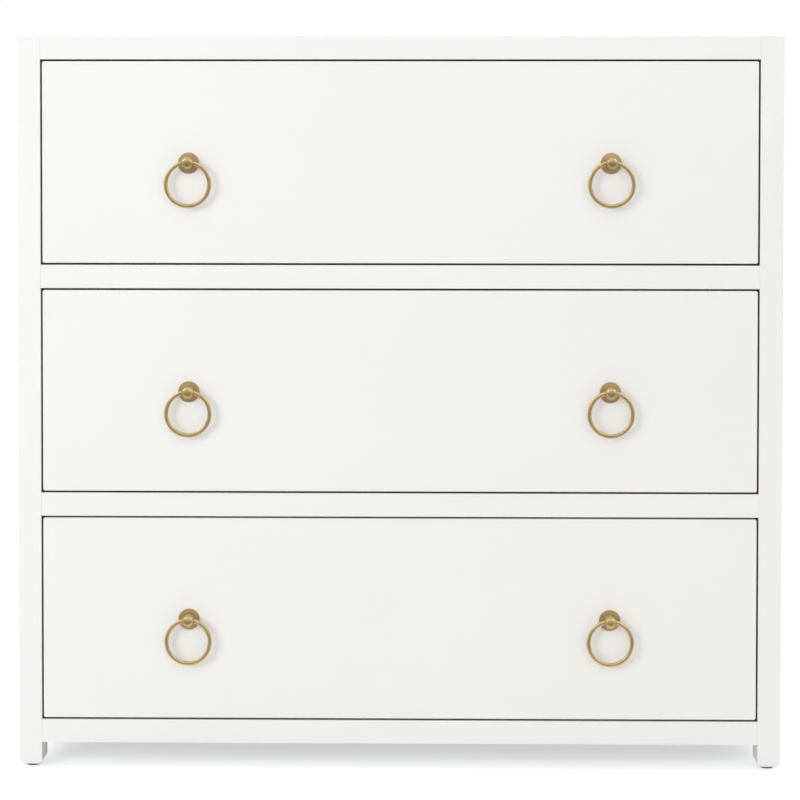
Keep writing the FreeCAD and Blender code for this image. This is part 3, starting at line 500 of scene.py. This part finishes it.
def make_world():
    """White where the camera looks; a softer room light elsewhere, dimmer on the photographer's side."""
    world = bpy.data.worlds.new("studio")
    bpy.context.scene.world = world
    world.use_nodes = True
    n = Nodes(world.node_tree)
    output = n.node("ShaderNodeOutputWorld")
    direction = n.node("ShaderNodeTexCoord").outputs["Generated"]

    def background(strength):
        return n.node("ShaderNodeBackground", {"Color": WHITE, "Strength": strength}).outputs[0]

    def toward(side):
        """The cosine of the angle to a side of the room."""
        inputs = {0: direction, 1: side}
        return n.node("ShaderNodeVectorMath", inputs, operation="DOT_PRODUCT").outputs["Value"]

    depth = n.node("ShaderNodeSeparateXYZ", {0: direction}).outputs["Y"]
    around = n.graded(depth, BESIDE_SPAN, (ROOM_BESIDE, ROOM_BEHIND))
    ahead = n.graded(toward(FRONT_SOURCE), FRONT_SPAN, (0.0, ROOM_FRONT))
    light = background(n.math("ADD", around, ahead))
    shine = background(n.graded(toward(LIGHTEST_SIDE), SHINE_SPAN, (STUDIO_SIDE, 1.0)))
    shown = n.blend(n.light_path("Is Glossy Ray", "Is Transmission Ray"), light, shine)
    shown = n.blend(n.light_path("Is Camera Ray"), shown, background(1.0))
    n.feed(output.inputs["Surface"], shown)


FLOOR_HALF = 7.0
FLOOR_SHADE = (0.80, 0.80, 0.80, 1.0)
FLOOR_GLOW = 0.535
GLOW_TINT = (0.975, 0.998, 1.024, 1.0)
# The distances from the frame's origin between which the floor fades into white, and the distance in front of
# the chest over which its image in glossy surfaces becomes as dim as the room.
FADE_SPAN = (0.9, 2.0)
DIM_REACH = 0.25


def make_floor():
    """A plain pale floor that keeps the chest's shadow and fades into white."""
    mesh = bpy.data.meshes.new("floor")
    shape = bmesh.new()
    bmesh.ops.create_grid(shape, x_segments=2, y_segments=2, size=FLOOR_HALF)
    shape.to_mesh(mesh)
    shape.free()
    floor = bpy.data.objects.new("floor", mesh)
    bpy.context.scene.collection.objects.link(floor)

    s = Shader("studio_floor")

    def diffuse():
        return s.node("ShaderNodeBsdfDiffuse", {"Color": FLOOR_SHADE}).outputs[0]

    def emission(colour, strength):
        return s.node("ShaderNodeEmission", {"Color": colour, "Strength": strength}).outputs[0]

    near = s.node("ShaderNodeAddShader", {0: diffuse(), 1: emission(GLOW_TINT, FLOOR_GLOW)}).outputs[0]
    spot = s.node("ShaderNodeTexCoord").outputs["Object"]
    distance = s.node("ShaderNodeVectorMath", {0: spot}, operation="LENGTH").outputs["Value"]
    seen = s.blend(s.graded(distance, FADE_SPAN, (0.0, 1.0)), near, emission(WHITE, 1.0))
    depth = s.node("ShaderNodeSeparateXYZ", {0: spot}).outputs["Y"]
    ahead = s.graded(depth, (FRONT_Y - DIM_REACH, FRONT_Y), (1.0, 0.0))
    dimmed = s.math("MULTIPLY", s.light_path("Is Glossy Ray"), ahead)
    seen = s.blend(dimmed, seen, emission(WHITE, STUDIO_SIDE))
    is_seen = s.light_path("Is Camera Ray", "Is Glossy Ray", "Is Transmission Ray")
    s.feed(s.output.inputs["Surface"], s.blend(is_seen, diffuse(), seen))
    mesh.materials.append(s.material)


KEY_TINT = (0.924, 0.938, 1.0)


def softbox(name, spot, target, size, power, colour=(1.0, 1.0, 1.0)):
    """An area light of a width and height in metres and a power in watts, which faces a target."""
    data = bpy.data.lights.new(name, "AREA")
    data.shape = "RECTANGLE"
    data.size, data.size_y = size
    data.energy = power
    data.color = colour
    lamp = bpy.data.objects.new(name, data)
    lamp.location = spot
    lamp.rotation_mode = "QUATERNION"
    lamp.rotation_quaternion = (Vector(target) - Vector(spot)).to_track_quat("-Z", "Y")
    bpy.context.scene.collection.objects.link(lamp)
    return lamp


def make_lights():
    """A large cool key light from the left that gloss doesn't mirror, side strips, a top and a back light."""
    key = softbox("key", spot=(-2.75, FRONT_Y - 3.2, 1.3), target=(0.0, FRONT_Y, 0.45), size=(1.8, 1.8),
                  power=47.0, colour=KEY_TINT)
    key.visible_glossy = False
    for name, across, power in (("left_strip", -1.7, 6.0), ("right_strip", 1.7, 4.5)):
        softbox(name, spot=(across, FRONT_Y - 0.05, 1.95), target=(0.0, FRONT_Y, 0.6), size=(0.5, 1.2),
                power=power)
    softbox("top", spot=(0.0, -0.4, 3.4), target=(0.0, 0.0, 0.0), size=(3.0, 3.0), power=8.0)
    softbox("back", spot=(0.6, 3.2, 2.2), target=(0.0, 0.2, 0.45), size=(2.2, 2.2), power=9.0)


# The camera: its place, its turns in degrees, its lens, and the picture row that the lens axis falls on.
CAMERA_X = 0.0329
CAMERA_HEIGHT = 0.6697
CAMERA_DISTANCE = 2.5
YAW = -0.740
PITCH = 1.445
ROLL = -0.062
FOCAL_PIXELS = 2095.1
IMAGE_PIXELS = 800
CENTRE_ROW = 264.0
SENSOR_WIDTH = 36.0
CLIP_START, CLIP_END = 0.05, 60.0


def make_camera():
    """A view from in front that looks down a little, with the frame shifted down below the lens axis."""
    yaw, pitch, roll = (math.radians(angle) for angle in (YAW, PITCH, ROLL))
    forward = Vector((math.sin(yaw) * math.cos(pitch), math.cos(yaw) * math.cos(pitch), -math.sin(pitch)))
    right = Vector((math.cos(yaw), -math.sin(yaw), 0.0))
    down = forward.cross(right)
    turned_right = math.cos(roll) * right + math.sin(roll) * down
    turned_down = math.cos(roll) * down - math.sin(roll) * right
    data = bpy.data.cameras.new("camera")
    data.sensor_width = SENSOR_WIDTH
    data.lens = FOCAL_PIXELS * SENSOR_WIDTH / IMAGE_PIXELS
    data.shift_y = (CENTRE_ROW - IMAGE_PIXELS / 2) / IMAGE_PIXELS
    data.clip_start, data.clip_end = CLIP_START, CLIP_END
    camera = bpy.data.objects.new("camera", data)
    rotation = Matrix((turned_right, -turned_down, -forward)).transposed()
    spot = Vector((CAMERA_X, FRONT_Y - CAMERA_DISTANCE, CAMERA_HEIGHT))
    camera.matrix_world = Matrix.Translation(spot) @ rotation.to_4x4()
    bpy.context.scene.collection.objects.link(camera)
    bpy.context.scene.camera = camera


make_world()
make_floor()
make_lights()
make_camera()
bpy.context.scene.view_settings.view_transform = "Standard"
